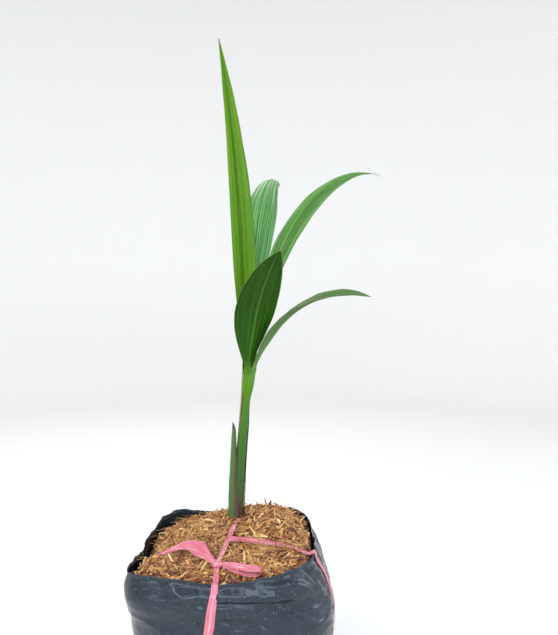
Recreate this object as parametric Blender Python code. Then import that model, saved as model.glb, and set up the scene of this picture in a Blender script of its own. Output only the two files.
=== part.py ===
# A young dwarf coconut palm with undivided leaves, growing in a soft black grow bag.
# The bag is filled with a mound of chipped coconut husk and tied with a pink ribbon and bow.
# Metres, +Z up. The origin is the middle of the bag's flat underside, and -Y is the front.
import math

import bmesh
import bpy
from mathutils import Vector

GAP = 0.0003  # clearance between pieces that touch
UP = Vector((0, 0, 1))

# Grow bag, a gusseted film bag 45 cm wide when flat
BAG_SIDES = 60
BAG_LEVELS = 15
RING_STEP = 0.002  # least height between the top rings of a wall
BAG_WALL = 0.0025
BAG_FLOOR = 0.005
BAG_FOOT_ROUND = 0.012
FOOT_STEPS = 4
BAG_RIM = 0.299
BELLY_HEIGHT = 0.215
FOOT_HALF = (0.122, 0.115)  # half width and half depth at the underside
BELLY_HALF = (0.1405, 0.126)
MOUTH_HALF = (0.1235, 0.117)
BELLY_SHIFT = 0.0095  # the fill slumps to the bag's right
SQUARENESS = (2.9, 4.2)  # outline exponent at the underside and at the rim
RIM_WAVES = (  # direction, rise and spread: the rim sags at the left and the front
    (182, -0.015, 22),
    (268, -0.011, 26),
    (318, 0.005, 16),
    (133, 0.003, 14),
    (45, 0.003, 25),
)
CORNER_FOLD = (221.5, 0.016, 9, 0.045)  # direction, reach, spread and how far down it fades
DENTS = (  # height, direction, depth, spread in degrees and spread in height
    (0.262, 300, 0.004, 26, 0.010),
    (0.240, 250, 0.003, 22, 0.012),
    (0.175, 285, 0.003, 34, 0.014),
    (0.110, 240, 0.003, 30, 0.016),
    (0.225, 20, 0.004, 16, 0.020),
    (0.150, 345, 0.003, 24, 0.016),
    (0.205, 150, 0.003, 28, 0.014),
    (0.120, 100, 0.003, 34, 0.014),
)

# Husk fill: a mound with bumps, given by their place, rise and spread
FILL_LEVEL = 0.2845
FILL_BUMPS = (
    (0.028, 0.030, 0.0365, 0.092),
    (0.070, 0.085, 0.0120, 0.050),
    (-0.118, 0.010, -0.0120, 0.034),
    (-0.085, -0.080, 0.0090, 0.042),
    (0.095, -0.075, 0.0110, 0.045),
    (0.000, -0.085, 0.0050, 0.030),
)
FILL_RINGS = 10
FILL_CLEAR = 0.0007  # between the fill and the film, whose faces are both faceted
FILL_BELOW_RIM = 0.0015
FILL_IN_FOLD = 0.7  # share of the corner fold that the husk fills
SOCKET_RADIUS = 0.0150
SOCKET_FLOOR = 0.3150

# Stem and its two old sheaths
STEM_FOOT = Vector((0.0085, 0.0350, SOCKET_FLOOR + GAP))
STEM_TOP = Vector((0.0256, 0.0338, 0.5399))
STEM_BOW = 0.0015  # the stem bows to its left halfway up
STEM_RADII = ((0.0, 0.0092), (0.12, 0.0082), (0.45, 0.0068), (0.8, 0.0068), (1.0, 0.0086))
STEM_SIDES = 24
STEM_LEVELS = 14
# foot and tip as shares of the stem, middle direction, half spread at foot and tip, thickness at
# both, and how far the tip stands off
BASAL_SHEATH = (0.0, 0.65, 186, 84, 15, 0.0052, 0.0012, 0.0048)
DRY_SHEATH = (0.62, 0.985, 205, 18, 42, 0.0012, 0.0022, 0.0)

# Leaves: base, heading and its drift, climb at base and tip and how late it bends, length and flat
# width, share of the length where widest and how late it widens, roll and fold at base and tip,
# and where the blade is split
LEAVES = {
    "spear_leaf": {
        "base": (0.0195, 0.0345, 0.5405),
        "heading": 180.0, "drift": 0.0, "climb": (89.7, 80.9), "bend": 1.2,
        "length": 0.515, "width": 0.044, "widest": 0.35, "late": 1.3,
        "roll": (-70.5, -57.0), "fold": (45.0, 24.0), "splits": (),
    },
    "back_leaf": {
        "base": (0.0245, 0.0403, 0.5410),
        "heading": 81.6, "drift": 0.0, "climb": (76.0, -10.2), "bend": 1.95,
        "length": 0.522, "width": 0.058, "widest": 0.43, "late": 2.3,
        "roll": (6.5, 20.5), "fold": (58.0, 10.0), "splits": (0.60,),
    },
    "upper_right_leaf": {
        "base": (0.0310, 0.0370, 0.5410),
        "heading": 39.2, "drift": 0.0, "climb": (74.4, 4.3), "bend": 1.95,
        "length": 0.483, "width": 0.048, "widest": 0.46, "late": 2.3,
        "roll": (4.0, 26.0), "fold": (56.0, 15.0), "splits": (0.60,),
    },
    "front_leaf": {
        "base": (0.0240, 0.0272, 0.5410),
        "heading": -68.3, "drift": -2.0, "climb": (69.1, 23.0), "bend": 1.4,
        "length": 0.2345, "width": 0.064, "widest": 0.435, "late": 1.2,
        "roll": (3.2, -8.3), "fold": (30.0, 10.0), "splits": (),
    },
    "lower_right_leaf": {
        "base": (0.0308, 0.0298, 0.5410),
        "heading": -9.1, "drift": -6.0, "climb": (63.7, -16.1), "bend": 1.55,
        "length": 0.2355, "width": 0.052, "widest": 0.46, "late": 1.3,
        "roll": (-8.7, 25.5), "fold": (30.0, 10.0), "splits": (0.55,),
    },
}
LEAF_STATIONS = 24
LEAF_THICK_SHARE = 1 / 86  # blade thickness over its length, across the fold
PETIOLE_WIDTH = 0.0052
TIP_HALF_WIDTH = 0.0008
TIP_THIN = 0.45  # thickness left at the tip

# Ribbon of flat pink film
RIBBON_THICK = 0.0010
RIBBON_WIDTH = 0.013
RIBBON_LIFT = 0.0009  # how far it lies off the bag and the husk
TAIL_LIFT = 0.0018  # the loose end and the bow lie a little higher
BOW_LIFT = 0.0015
RIM_LIFT = 0.0018  # and off the highest point of the rim beside it
RIBBON_SINK = 0.0014  # how deep it lies in the underside
RIBBON_CHANNEL = 0.0006  # clearance round it there
WALL_SHARES = (0.015, 0.05, 0.1, 0.17, 0.24, 0.32, 0.4, 0.5, 0.6, 0.7, 0.8, 0.9)  # down a wall
FRONT_DIRECTIONS = (265.5, 255.0)  # where it crosses the rim and where it turns under
BACK_DIRECTIONS = (89.0, 100.0)
SIDE_DIRECTIONS = (-26.0, -23.0)
CHANNEL_STATIONS = 6  # stations at the end of a wall run that lie by the channel
SIDE_WIDTH = 0.011
TOP_WIDTH = 0.009
KNOT = Vector((-0.0095, -0.0900, 0.0))
KNOT_HALF = Vector((0.0075, 0.0060, 0.0045))
CROSSING = Vector((0.0000, -0.0320, 0.0))  # where the side run leaves the top run
SIDE_DIP = Vector((0.0840, -0.0445, 0.0))  # where the side run dips among the husk
BEFORE_STEM = STEM_FOOT + Vector((-0.0060, -0.0165, 0.0))
BEHIND_STEM = STEM_FOOT + Vector((-0.0015, 0.0160, 0.0))
TAIL = (  # x, y and width along the bow's loose end
    (-0.018, -0.083, 0.006),
    (-0.030, -0.070, 0.013),
    (-0.043, -0.058, 0.019),
    (-0.058, -0.050, 0.017),
    (-0.074, -0.047, 0.013),
    (-0.088, -0.046, 0.011),
    (-0.100, -0.048, 0.008),
)
BOW_REACH = 0.052
BOW_HEIGHT = 0.0075
BOW_AWAY = (0.97, -0.22, 0.0)
BOW_WIDTHS = ((0.0, 0.007), (0.3, 0.011), (0.6, 0.013), (0.85, 0.013))  # share out and width

COLOURS = {
    "film": ((0.030, 0.038, 0.047), 0.28),
    "husk": ((0.42, 0.25, 0.12), 0.90),
    "stem": ((0.10, 0.24, 0.05), 0.45),
    "sheath": ((0.09, 0.055, 0.04), 0.70),
    "young_leaf": ((0.12, 0.28, 0.02), 0.40),
    "leaf": ((0.07, 0.22, 0.05), 0.42),
    "ribbon": ((0.75, 0.20, 0.28), 0.35),
}


def clear_scene():
    for obj in list(bpy.data.objects):
        bpy.data.objects.remove(obj, do_unlink=True)


def material(name):
    found = bpy.data.materials.get(name)
    if found:
        return found
    made = bpy.data.materials.new(name)
    made.use_nodes = True
    colour, roughness = COLOURS[name]
    shader = made.node_tree.nodes["Principled BSDF"]
    shader.inputs["Base Color"].default_value = (*colour, 1.0)
    shader.inputs["Roughness"].default_value = roughness
    shader.inputs["Metallic"].default_value = 0.0
    made.diffuse_color = (*colour, 1.0)
    return made


def mesh_object(name, bm, finish):
    bmesh.ops.recalc_face_normals(bm, faces=bm.faces)
    mesh = bpy.data.meshes.new(name)
    bm.to_mesh(mesh)
    bm.free()
    mesh.materials.append(material(finish))
    mesh.shade_smooth()
    mesh.set_sharp_from_angle(angle=math.radians(40))
    obj = bpy.data.objects.new(name, mesh)
    bpy.context.scene.collection.objects.link(obj)
    return obj


def loft(name, rings, finish):
    """One closed solid through rings of points, with a cap at each end."""
    bm = bmesh.new()
    loops = [[bm.verts.new(point) for point in ring] for ring in rings]
    for lower, upper in zip(loops, loops[1:]):
        for i in range(len(lower)):
            j = (i + 1) % len(lower)
            bm.faces.new((lower[i], lower[j], upper[j], upper[i]))
    bm.faces.new(loops[0])
    bm.faces.new(loops[-1])
    return mesh_object(name, bm, finish)


def cut(obj, cutter):
    cutter.hide_render = True
    cutter.display_type = "WIRE"
    boolean = obj.modifiers.new(f"cut {cutter.name}", "BOOLEAN")
    boolean.object = cutter
    boolean.operation = "DIFFERENCE"
    boolean.solver = "EXACT"


def mix(a, b, share):
    return a + (b - a) * share


def through(points, share):
    """Value at a share of the way along (share, value) points, eased between them."""
    for (low, start), (high, end) in zip(points, points[1:]):
        if share <= high:
            along = (share - low) / (high - low)
            return mix(start, end, along * along * (3 - 2 * along))
    return points[-1][1]


def turn_between(a, b):
    """The smaller angle between two directions, in degrees."""
    return abs((a - b + 180) % 360 - 180)


def hump(distance, spread):
    return math.exp(-((distance / spread) ** 2))


def rim_height(direction):
    return BAG_RIM + sum(
        rise * hump(turn_between(direction, at), spread) for at, rise, spread in RIM_WAVES
    )


def film_point(direction, height, inset=0.0, fold=1.0):
    """A point on the bag's outer face, or set into it, for a direction in degrees and a height."""
    low = min(height / BELLY_HEIGHT, 1.0)
    high = max((height - BELLY_HEIGHT) / (BAG_RIM - BELLY_HEIGHT), 0.0)
    swell = math.sin(low * math.pi / 2)
    close = 1 - math.cos(min(high, 1.2) * math.pi / 2)
    half = [
        mix(foot, belly, swell) - (belly - mouth) * close
        for foot, belly, mouth in zip(FOOT_HALF, BELLY_HALF, MOUTH_HALF)
    ]
    power = mix(*SQUARENESS, min(height / BAG_RIM, 1.0))
    angle = math.radians(direction)
    across = abs(math.cos(angle) / half[0]) ** power + abs(math.sin(angle) / half[1]) ** power
    radius = across ** (-1 / power)
    fold_at, reach, spread, fade = CORNER_FOLD
    depth_below = max(rim_height(direction) - height, 0.0)
    radius += fold * reach * hump(turn_between(direction, fold_at), spread) * hump(depth_below, fade)
    for level, at, depth, turn, tall in DENTS:
        radius -= depth * hump(turn_between(direction, at), turn) * hump(height - level, tall)
    radius -= inset
    shift = BELLY_SHIFT * swell * (1 - 1.15 * close)
    return Vector((shift + radius * math.cos(angle), radius * math.sin(angle), height))


def film_normal(direction, height):
    step = 0.5
    around = film_point(direction + step, height) - film_point(direction - step, height)
    rise = film_point(direction, height + 0.001) - film_point(direction, height - 0.001)
    return around.cross(rise).normalized()


def film_ring(height_of, inset, fold=1.0):
    directions = [360 * i / BAG_SIDES for i in range(BAG_SIDES)]
    return [film_point(direction, height_of(direction), inset, fold) for direction in directions]


def foot_rings(floor, inset, radius):
    """Rings round the rounded edge of a floor, from the flat outwards and up."""
    rings = []
    for i in range(FOOT_STEPS + 1):
        angle = math.pi / 2 * i / FOOT_STEPS
        tuck = radius * (1 - math.sin(angle))
        height = floor + radius * (1 - math.cos(angle))
        rings.append(film_ring(lambda direction, z=height: z, inset + tuck))
    return rings


def wall_rings(floor, inset, top_of=rim_height, fold=1.0):
    """Rings up a wall, from just over its rounded foot to the rim or to a top below it."""
    rings = []
    for i in range(1, BAG_LEVELS + 1):

        def height_of(direction, i=i):
            level = mix(floor, rim_height(direction), i / BAG_LEVELS)
            return min(level, top_of(direction) - RING_STEP * (BAG_LEVELS - i))

        rings.append(film_ring(height_of, inset, fold))
    return rings


def make_bag():
    outside = foot_rings(0.0, 0.0, BAG_FOOT_ROUND)
    outside += wall_rings(BAG_FOOT_ROUND, 0.0)
    inner_round = BAG_FOOT_ROUND - BAG_WALL
    inside = foot_rings(BAG_FLOOR, BAG_WALL, inner_round)
    inside += wall_rings(BAG_FLOOR + inner_round, BAG_WALL)
    return loft("grow_bag", outside + inside[::-1], "film")


def fill_height(x, y):
    return FILL_LEVEL + sum(
        rise * hump(math.hypot(x - at_x, y - at_y), spread)
        for at_x, at_y, rise, spread in FILL_BUMPS
    )


def make_fill():
    floor = BAG_FLOOR + GAP
    inset = BAG_WALL + FILL_CLEAR
    foot_round = BAG_FOOT_ROUND - BAG_WALL

    def edge_height(direction):
        edge = film_point(direction, BAG_RIM, inset)
        return min(fill_height(edge.x, edge.y), rim_height(direction) - FILL_BELOW_RIM)

    rings = foot_rings(floor, inset, foot_round)
    rings += wall_rings(floor + foot_round, inset, edge_height, FILL_IN_FOLD)
    edge_ring = rings[-1]
    for i in range(1, FILL_RINGS + 1):
        share = i / FILL_RINGS
        ring = []
        for step, edge in enumerate(edge_ring):
            angle = math.tau * step / BAG_SIDES
            x = mix(edge.x, STEM_FOOT.x + SOCKET_RADIUS * math.cos(angle), share)
            y = mix(edge.y, STEM_FOOT.y + SOCKET_RADIUS * math.sin(angle), share)
            settled = mix(edge.z, fill_height(x, y), min(share * 3, 1.0))
            ring.append(Vector((x, y, settled)))
        rings.append(ring)
    rings.append([Vector((point.x, point.y, SOCKET_FLOOR)) for point in rings[-1]])
    return loft("husk_fill", rings, "husk")


def stem_centre(share):
    bow = Vector((-STEM_BOW * math.sin(share * math.pi), 0, 0))
    return STEM_FOOT.lerp(STEM_TOP, share) + bow


def spoke(turn):
    return Vector((math.cos(turn), math.sin(turn), 0))


def make_stem():
    rings = []
    for i in range(STEM_LEVELS + 1):
        share = i / STEM_LEVELS
        centre = stem_centre(share)
        radius = through(STEM_RADII, share)
        turns = [math.tau * k / STEM_SIDES for k in range(STEM_SIDES)]
        rings.append([centre + spoke(turn) * radius for turn in turns])
    return loft("stem", rings, "stem")


def make_sheath(name, sizes, finish, levels=9, steps=8):
    """A half-round shell that wraps one side of the stem and narrows to its tip."""
    foot, tip, middle, foot_spread, tip_spread, foot_thick, tip_thick, stand_off = sizes
    rings = []
    for i in range(levels + 1):
        along = i / levels
        share = mix(foot, tip, along)
        centre = stem_centre(share)
        inner = through(STEM_RADII, share) + 1.3 * GAP + stand_off * along ** 3
        spread = mix(foot_spread, tip_spread, along ** 1.5)
        thick = mix(foot_thick, tip_thick, along)
        turns = [math.radians(middle + spread * (2 * k / steps - 1)) for k in range(steps + 1)]
        thins = [1 - 0.75 * abs(2 * k / steps - 1) ** 2 for k in range(steps + 1)]
        outside = [centre + spoke(turn) * (inner + thick * thin) for turn, thin in zip(turns, thins)]
        inside = [centre + spoke(turn) * inner for turn in turns]
        rings.append(outside + inside[::-1])
    return loft(name, rings, finish)


def blade_share(along, widest, late, petiole):
    """Half width of a blade as a share of its widest, from the petiole to the tip."""
    if along < widest:
        return petiole + (1 - petiole) * math.sin(along / widest * math.pi / 2) ** late
    past = (along - widest) / (1 - widest)
    return max(math.cos(past * math.pi / 2), 0.0) ** 0.9


def leaf_stations(leaf):
    """Middle, sideways and upward directions, half width and fold at each station of a leaf."""
    middle = Vector(leaf["base"])
    last = None
    stations = []
    for i in range(LEAF_STATIONS + 1):
        along = i / LEAF_STATIONS
        climb = math.radians(mix(*leaf["climb"], along ** leaf["bend"]))
        heading = math.radians(leaf["heading"] + leaf["drift"] * along)
        level = Vector((-math.sin(heading), math.cos(heading), 0))
        tangent = Vector((
            math.cos(climb) * math.cos(heading),
            math.cos(climb) * math.sin(heading),
            math.sin(climb),
        ))
        if last is not None:
            middle = middle + (last + tangent) / 2 * leaf["length"] / LEAF_STATIONS
        last = tangent
        up = tangent.cross(level)
        roll = math.radians(mix(*leaf["roll"], along))
        across = level * math.cos(roll) + up * math.sin(roll)
        normal = up * math.cos(roll) - level * math.sin(roll)
        petiole = PETIOLE_WIDTH / leaf["width"]
        share = blade_share(along, leaf["widest"], leaf["late"], petiole)
        half = max(leaf["width"] / 2 * share, TIP_HALF_WIDTH)
        fold = math.radians(mix(*leaf["fold"], along ** 0.6))
        stations.append((along, middle.copy(), tangent, across, normal, half, fold))
    return stations


def blade_ring(station, thick):
    """A folded blade's outline across, five points on top and five below."""
    along, middle, _, across, normal, half, fold = station
    local = thick * mix(1.0, TIP_THIN, max(along - 0.8, 0) / 0.2)
    top, under = [], []
    for side in (-1.0, -0.5, 0.0, 0.5, 1.0):
        arch = 0.10 * half * (1 - (2 * abs(side) - 1) ** 2)
        spot = middle + across * side * half * math.cos(fold)
        spot = spot + normal * (abs(side) * half * math.sin(fold) + arch)
        top.append(spot + normal * local / 2)
        under.append(spot - normal * local / 2)
    return top + under[::-1]


def make_leaf(name, leaf):
    """A leaf as one blade, or as pieces that end face to face where it arches over."""
    finish = "young_leaf" if name.startswith("spear") else "leaf"
    stations = leaf_stations(leaf)
    thick = leaf["length"] * LEAF_THICK_SHARE
    cuts = [0.0, *leaf["splits"], 1.0]
    labels = [""] if len(cuts) == 2 else ["_lower", "_tip"]
    for label, start, end in zip(labels, cuts, cuts[1:]):
        first, last = round(start * LEAF_STATIONS), round(end * LEAF_STATIONS)
        rings = [blade_ring(station, thick) for station in stations[first:last + 1]]
        if first > 0:
            clear = stations[first][2] * (GAP + 0.0001)
            rings[0] = [point + clear for point in rings[0]]
        loft(name + label, rings, finish)


def ribbon_ring(spot, tangent, normal, width, thick, lift=0.0):
    side = tangent.cross(normal).normalized() * width / 2
    low, high = normal * lift, normal * (lift + thick)
    return [spot - side + low, spot + side + low, spot + side + high, spot - side + high]


def make_strip(name, path, width, margin=0.0):
    """A flat strip along (point, outward normal) pairs, or a channel for it with a margin all round."""
    rings = []
    for i, (spot, normal) in enumerate(path):
        before = path[max(i - 1, 0)][0]
        after = path[min(i + 1, len(path) - 1)][0]
        tangent = (after - before).normalized()
        outward = (normal - tangent * normal.dot(tangent)).normalized()
        if i == 0:
            spot = spot - tangent * margin
        if i == len(path) - 1:
            spot = spot + tangent * margin
        thick = RIBBON_THICK + 2 * margin
        rings.append(ribbon_ring(spot, tangent, outward, width + 2 * margin, thick, -margin))
    return loft(name, rings, "ribbon")


def wall_run(directions):
    """Stations of a ribbon down the outside of the bag, from the rim to just under its edge."""
    direction = directions[0]
    rim = rim_height(direction)
    outward = film_normal(direction, rim)
    over = film_point(direction, rim) + UP * RIM_LIFT
    stations = [
        (over - outward * (BAG_WALL + 0.002), UP),
        (over + outward * GAP, UP + outward),
    ]
    for share in WALL_SHARES:
        direction = mix(*directions, share)
        height = mix(rim, BAG_FOOT_ROUND, share)
        normal = film_normal(direction, height)
        stations.append((film_point(direction, height) + normal * RIBBON_LIFT, normal))
    flat = film_normal(directions[1], BAG_FOOT_ROUND)
    flat = Vector((flat.x, flat.y, 0)).normalized()
    corner = film_point(directions[1], BAG_FOOT_ROUND) - flat * BAG_FOOT_ROUND
    for angle in (0, 22.5, 45, 67.5, 90):
        turn = math.radians(angle)
        normal = flat * math.cos(turn) - UP * math.sin(turn)
        off = mix(RIBBON_LIFT, -RIBBON_SINK, angle / 90)
        stations.append((corner + normal * (BAG_FOOT_ROUND + off), normal))
    return stations


def on_fill(x, y, lift=RIBBON_LIFT):
    return Vector((x, y, fill_height(x, y) + lift))


def fill_normal(x, y, step=0.004):
    slope_x = (fill_height(x + step, y) - fill_height(x - step, y)) / (2 * step)
    slope_y = (fill_height(x, y + step) - fill_height(x, y - step)) / (2 * step)
    return Vector((-slope_x, -slope_y, 1)).normalized()


def fill_run(spots):
    return [(on_fill(x, y), fill_normal(x, y)) for x, y in spots]


def spread_between(start, end, count):
    """Places on a straight run in plan, the ends left in."""
    shares = [i / count for i in range(count + 1)]
    return [(mix(start[0], end[0], share), mix(start[1], end[1], share)) for share in shares]


def make_loop(bag, knot):
    """The run from the knot over the front rim, under the bag, up the back and on to the stem."""
    front, back = wall_run(FRONT_DIRECTIONS), wall_run(BACK_DIRECTIONS)
    back_foot = (back[-1][0], -UP)
    start = knot - Vector((0, KNOT_HALF.y + 2 * GAP, 0))
    path = [(start, UP)] + fill_run(spread_between(start, front[0][0], 3))[1:-1]
    path += front + [back_foot] + back[-2::-1]
    path += fill_run(spread_between(back[0][0], BEHIND_STEM, 8))[1:]
    make_strip("ribbon_loop", path, RIBBON_WIDTH)
    under = front[-CHANNEL_STATIONS:] + [back_foot] + back[-2:-CHANNEL_STATIONS - 1:-1]
    cut(bag, make_strip("loop_channel", under, RIBBON_WIDTH, RIBBON_CHANNEL))
    return front[-1][0], back_foot[0]


def make_side(bag, front_foot, back_foot):
    """The run from the crossing over the right rim and under the bag to the loop."""
    side = wall_run(SIDE_DIRECTIONS)
    side_foot = side[-1][0]
    across = (side_foot.y - front_foot.y) / (back_foot.y - front_foot.y)
    clear = RIBBON_WIDTH / 2 + 0.0020
    stop = (front_foot.lerp(back_foot, across) + Vector((clear, 0, 0)), -UP)
    start = CROSSING + Vector((SIDE_WIDTH / 2, 0, 0))
    path = fill_run(spread_between(start, SIDE_DIP, 6))
    path += fill_run(spread_between(SIDE_DIP, side[0][0], 4))[1:-1]
    path += side + [stop]
    make_strip("ribbon_side", path, SIDE_WIDTH)
    under = side[-CHANNEL_STATIONS:] + [stop]
    cut(bag, make_strip("side_channel", under, SIDE_WIDTH, RIBBON_CHANNEL))


def make_top(knot):
    """The run from the knot over the husk to the foot of the stem."""
    start = knot + Vector((0, KNOT_HALF.y + 2 * GAP, 0))
    path = [(start, UP)] + fill_run(spread_between(start, CROSSING, 6))[1:]
    path += fill_run(spread_between(CROSSING, BEFORE_STEM, 6))[1:]
    make_strip("ribbon_top", path, TOP_WIDTH)


def make_knot(centre):
    bm = bmesh.new()
    bmesh.ops.create_uvsphere(bm, u_segments=16, v_segments=10, radius=1.0)
    bmesh.ops.scale(bm, vec=KNOT_HALF, verts=bm.verts)
    bmesh.ops.translate(bm, vec=centre, verts=bm.verts)
    mesh_object("ribbon_knot", bm, "ribbon")


def tapered_strip(name, stations):
    """A flat strip along (point, normal, width) stations."""
    rings = []
    for i, (spot, normal, width) in enumerate(stations):
        before = stations[max(i - 1, 0)][0]
        after = stations[min(i + 1, len(stations) - 1)][0]
        tangent = (after - before).normalized()
        outward = (normal - tangent * normal.dot(tangent)).normalized()
        rings.append(ribbon_ring(spot, tangent, outward, width, RIBBON_THICK))
    loft(name, rings, "ribbon")


def make_tail():
    """The bow's loose end, lying over the husk to the bag's left."""
    tapered_strip("ribbon_tail", [
        (on_fill(x, y, TAIL_LIFT), fill_normal(x, y), width) for x, y, width in TAIL
    ])


def make_bow(knot):
    """The bow's loop: out over the husk to the right, round its end and back on top."""
    start = Vector((knot.x + KNOT_HALF.x + 3 * GAP, knot.y - 0.001, 0))
    away = Vector(BOW_AWAY).normalized()
    stations = []
    for share, width in BOW_WIDTHS:
        spot = start + away * BOW_REACH * share
        stations.append((on_fill(spot.x, spot.y, BOW_LIFT), -UP, width))
    for angle in (-60, -20, 20, 60):
        turn = math.radians(angle)
        spot = start + away * (BOW_REACH * 0.88 + BOW_HEIGHT / 2 * math.cos(turn))
        lift = BOW_LIFT + BOW_HEIGHT / 2 * (1 + math.sin(turn))
        outward = away * math.cos(turn) + UP * math.sin(turn)
        stations.append((on_fill(spot.x, spot.y, lift), outward, BOW_WIDTHS[-1][1]))
    for share, width in BOW_WIDTHS[:0:-1]:
        spot = start + away * BOW_REACH * share
        lift = BOW_LIFT + BOW_HEIGHT * mix(0.55, 1.0, share / BOW_WIDTHS[-1][0])
        stations.append((on_fill(spot.x, spot.y, lift), UP, width))
    tapered_strip("ribbon_bow", stations)


def make_ribbon(bag):
    knot = on_fill(KNOT.x, KNOT.y, 2 * GAP + KNOT_HALF.z)
    front_foot, back_foot = make_loop(bag, knot)
    make_side(bag, front_foot, back_foot)
    make_top(knot)
    make_knot(knot)
    make_tail()
    make_bow(knot)


def main():
    clear_scene()
    bag = make_bag()
    make_fill()
    make_stem()
    make_sheath("basal_sheath", BASAL_SHEATH, "sheath")
    make_sheath("dry_sheath", DRY_SHEATH, "sheath")
    for name, leaf in LEAVES.items():
        make_leaf(name, leaf)
    make_ribbon(bag)


main()
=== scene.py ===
# The looks of a young dwarf coconut palm in a soft black grow bag of husk chips.
# Metres, +Z up. The origin is the middle of the bag's flat underside, and -Y is the front.
import math
import random

import bmesh
import bpy
from mathutils import Matrix, Vector, noise


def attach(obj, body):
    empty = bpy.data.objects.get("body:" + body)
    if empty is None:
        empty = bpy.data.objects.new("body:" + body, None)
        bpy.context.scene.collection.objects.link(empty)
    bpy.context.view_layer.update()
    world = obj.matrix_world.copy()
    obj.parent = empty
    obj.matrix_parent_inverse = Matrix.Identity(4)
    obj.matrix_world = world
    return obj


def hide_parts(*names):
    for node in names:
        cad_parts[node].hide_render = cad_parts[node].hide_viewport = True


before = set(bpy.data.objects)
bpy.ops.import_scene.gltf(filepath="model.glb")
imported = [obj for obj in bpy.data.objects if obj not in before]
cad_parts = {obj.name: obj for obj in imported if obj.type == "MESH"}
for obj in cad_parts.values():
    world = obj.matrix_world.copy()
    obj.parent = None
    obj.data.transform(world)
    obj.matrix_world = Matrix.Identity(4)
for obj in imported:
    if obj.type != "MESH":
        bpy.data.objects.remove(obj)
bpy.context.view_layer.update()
scene = bpy.context.scene
up = Vector((0, 0, 1))


# sums

def mix(a, b, share):
    return a + (b - a) * share


def clamp(value, low=0.0, high=1.0):
    return max(low, min(high, value))


def smooth(value):
    value = clamp(value)
    return value * value * (3 - 2 * value)


def through(points, share):
    for (low, start), (high, end) in zip(points, points[1:]):
        if share <= high:
            return mix(start, end, smooth((share - low) / (high - low)))
    return points[-1][1]


def turnBetween(a, b):
    return abs((a - b + 180) % 360 - 180)


def hump(distance, spread):
    return math.exp(-((distance / spread) ** 2))


def spoke(turn):
    return Vector((math.cos(turn), math.sin(turn), 0))


# materials

class Value:
    # one number in a material, so that sums of them read as sums
    def __init__(self, tree, socket):
        self.tree, self.socket = tree, socket

    def maths(self, operation, *terms, limit=False):
        node = self.tree.nodes.new("ShaderNodeMath")
        node.operation = operation
        node.use_clamp = limit
        for socket, term in zip(node.inputs, terms):
            if isinstance(term, Value):
                self.tree.links.new(term.socket, socket)
            else:
                socket.default_value = term
        return Value(self.tree, node.outputs[0])

    def __add__(self, other):
        return self.maths("ADD", self, other)

    def __sub__(self, other):
        return self.maths("SUBTRACT", self, other)

    def __rsub__(self, other):
        return self.maths("SUBTRACT", other, self)

    def __mul__(self, other):
        return self.maths("MULTIPLY", self, other)

    def __truediv__(self, other):
        return self.maths("DIVIDE", self, other)

    def __rtruediv__(self, other):
        return self.maths("DIVIDE", other, self)

    __radd__ = __add__
    __rmul__ = __mul__

    def size(self):
        return self.maths("ABSOLUTE", self)

    def held(self):
        return self.maths("ADD", self, 0.0, limit=True)


class Paint:
    def __init__(self, name, **fixed):
        self.material = bpy.data.materials.new(name)
        self.material.use_nodes = True
        self.tree = self.material.node_tree
        self.shader = self.tree.nodes["Principled BSDF"]
        for socket, value in fixed.items():
            self.shader.inputs[socket.replace("_", " ")].default_value = value

    def feed(self, socket, value):
        source = value.socket if isinstance(value, Value) else value
        if isinstance(source, bpy.types.NodeSocket):
            self.tree.links.new(source, socket)
        else:
            socket.default_value = source

    def node(self, kind, settings=(), inputs=(), output=0):
        made = self.tree.nodes.new(kind)
        for key, value in dict(settings).items():
            setattr(made, key, value)
        for key, value in dict(inputs).items():
            self.feed(made.inputs[key], value)
        return made.outputs[output]

    def place(self, stretch=(1, 1, 1)):
        spot = self.node("ShaderNodeTexCoord", output="Object")
        return self.node("ShaderNodeMapping", inputs={"Vector": spot, "Scale": stretch})

    def noise(self, scale, detail=3.0, stretch=(1, 1, 1), vector=None, rough=0.55):
        spot = vector or self.place(stretch)
        inputs = {"Vector": spot, "Scale": scale, "Detail": detail, "Roughness": rough}
        return Value(self.tree, self.node("ShaderNodeTexNoise", inputs=inputs))

    def attribute(self, name):
        socket = self.node("ShaderNodeAttribute", {"attribute_name": name}, output="Fac")
        return Value(self.tree, socket)

    def grain(self):
        spot = self.node("ShaderNodeUVMap", {"uv_map": "grain"})
        made = self.tree.nodes.new("ShaderNodeSeparateXYZ")
        self.tree.links.new(spot, made.inputs[0])
        return Value(self.tree, made.outputs[0]), Value(self.tree, made.outputs[1])

    def joined(self, x, y, z=0.0):
        return self.node("ShaderNodeCombineXYZ", inputs={"X": x, "Y": y, "Z": z})

    def ramp(self, factor, stops):
        made = self.tree.nodes.new("ShaderNodeValToRGB")
        spots = made.color_ramp.elements
        while len(spots) < len(stops):
            spots.new(0.5)
        for spot, (at, colour) in zip(spots, stops):
            spot.position = at
            spot.color = (*colour, 1.0)
        self.feed(made.inputs["Fac"], factor)
        return made.outputs["Color"]

    def blend(self, factor, a, b):
        made = self.tree.nodes.new("ShaderNodeMix")
        made.data_type = "RGBA"
        for index, value in ((0, factor), (6, a), (7, b)):
            self.feed(made.inputs[index], (*value, 1.0) if isinstance(value, tuple) else value)
        return made.outputs[2]

    def bump(self, height, distance, strength=1.0):
        inputs = {"Height": height, "Distance": distance, "Strength": strength}
        self.set("Normal", self.node("ShaderNodeBump", inputs=inputs))

    def set(self, socket, value):
        self.feed(self.shader.inputs[socket], value)


# meshes

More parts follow.
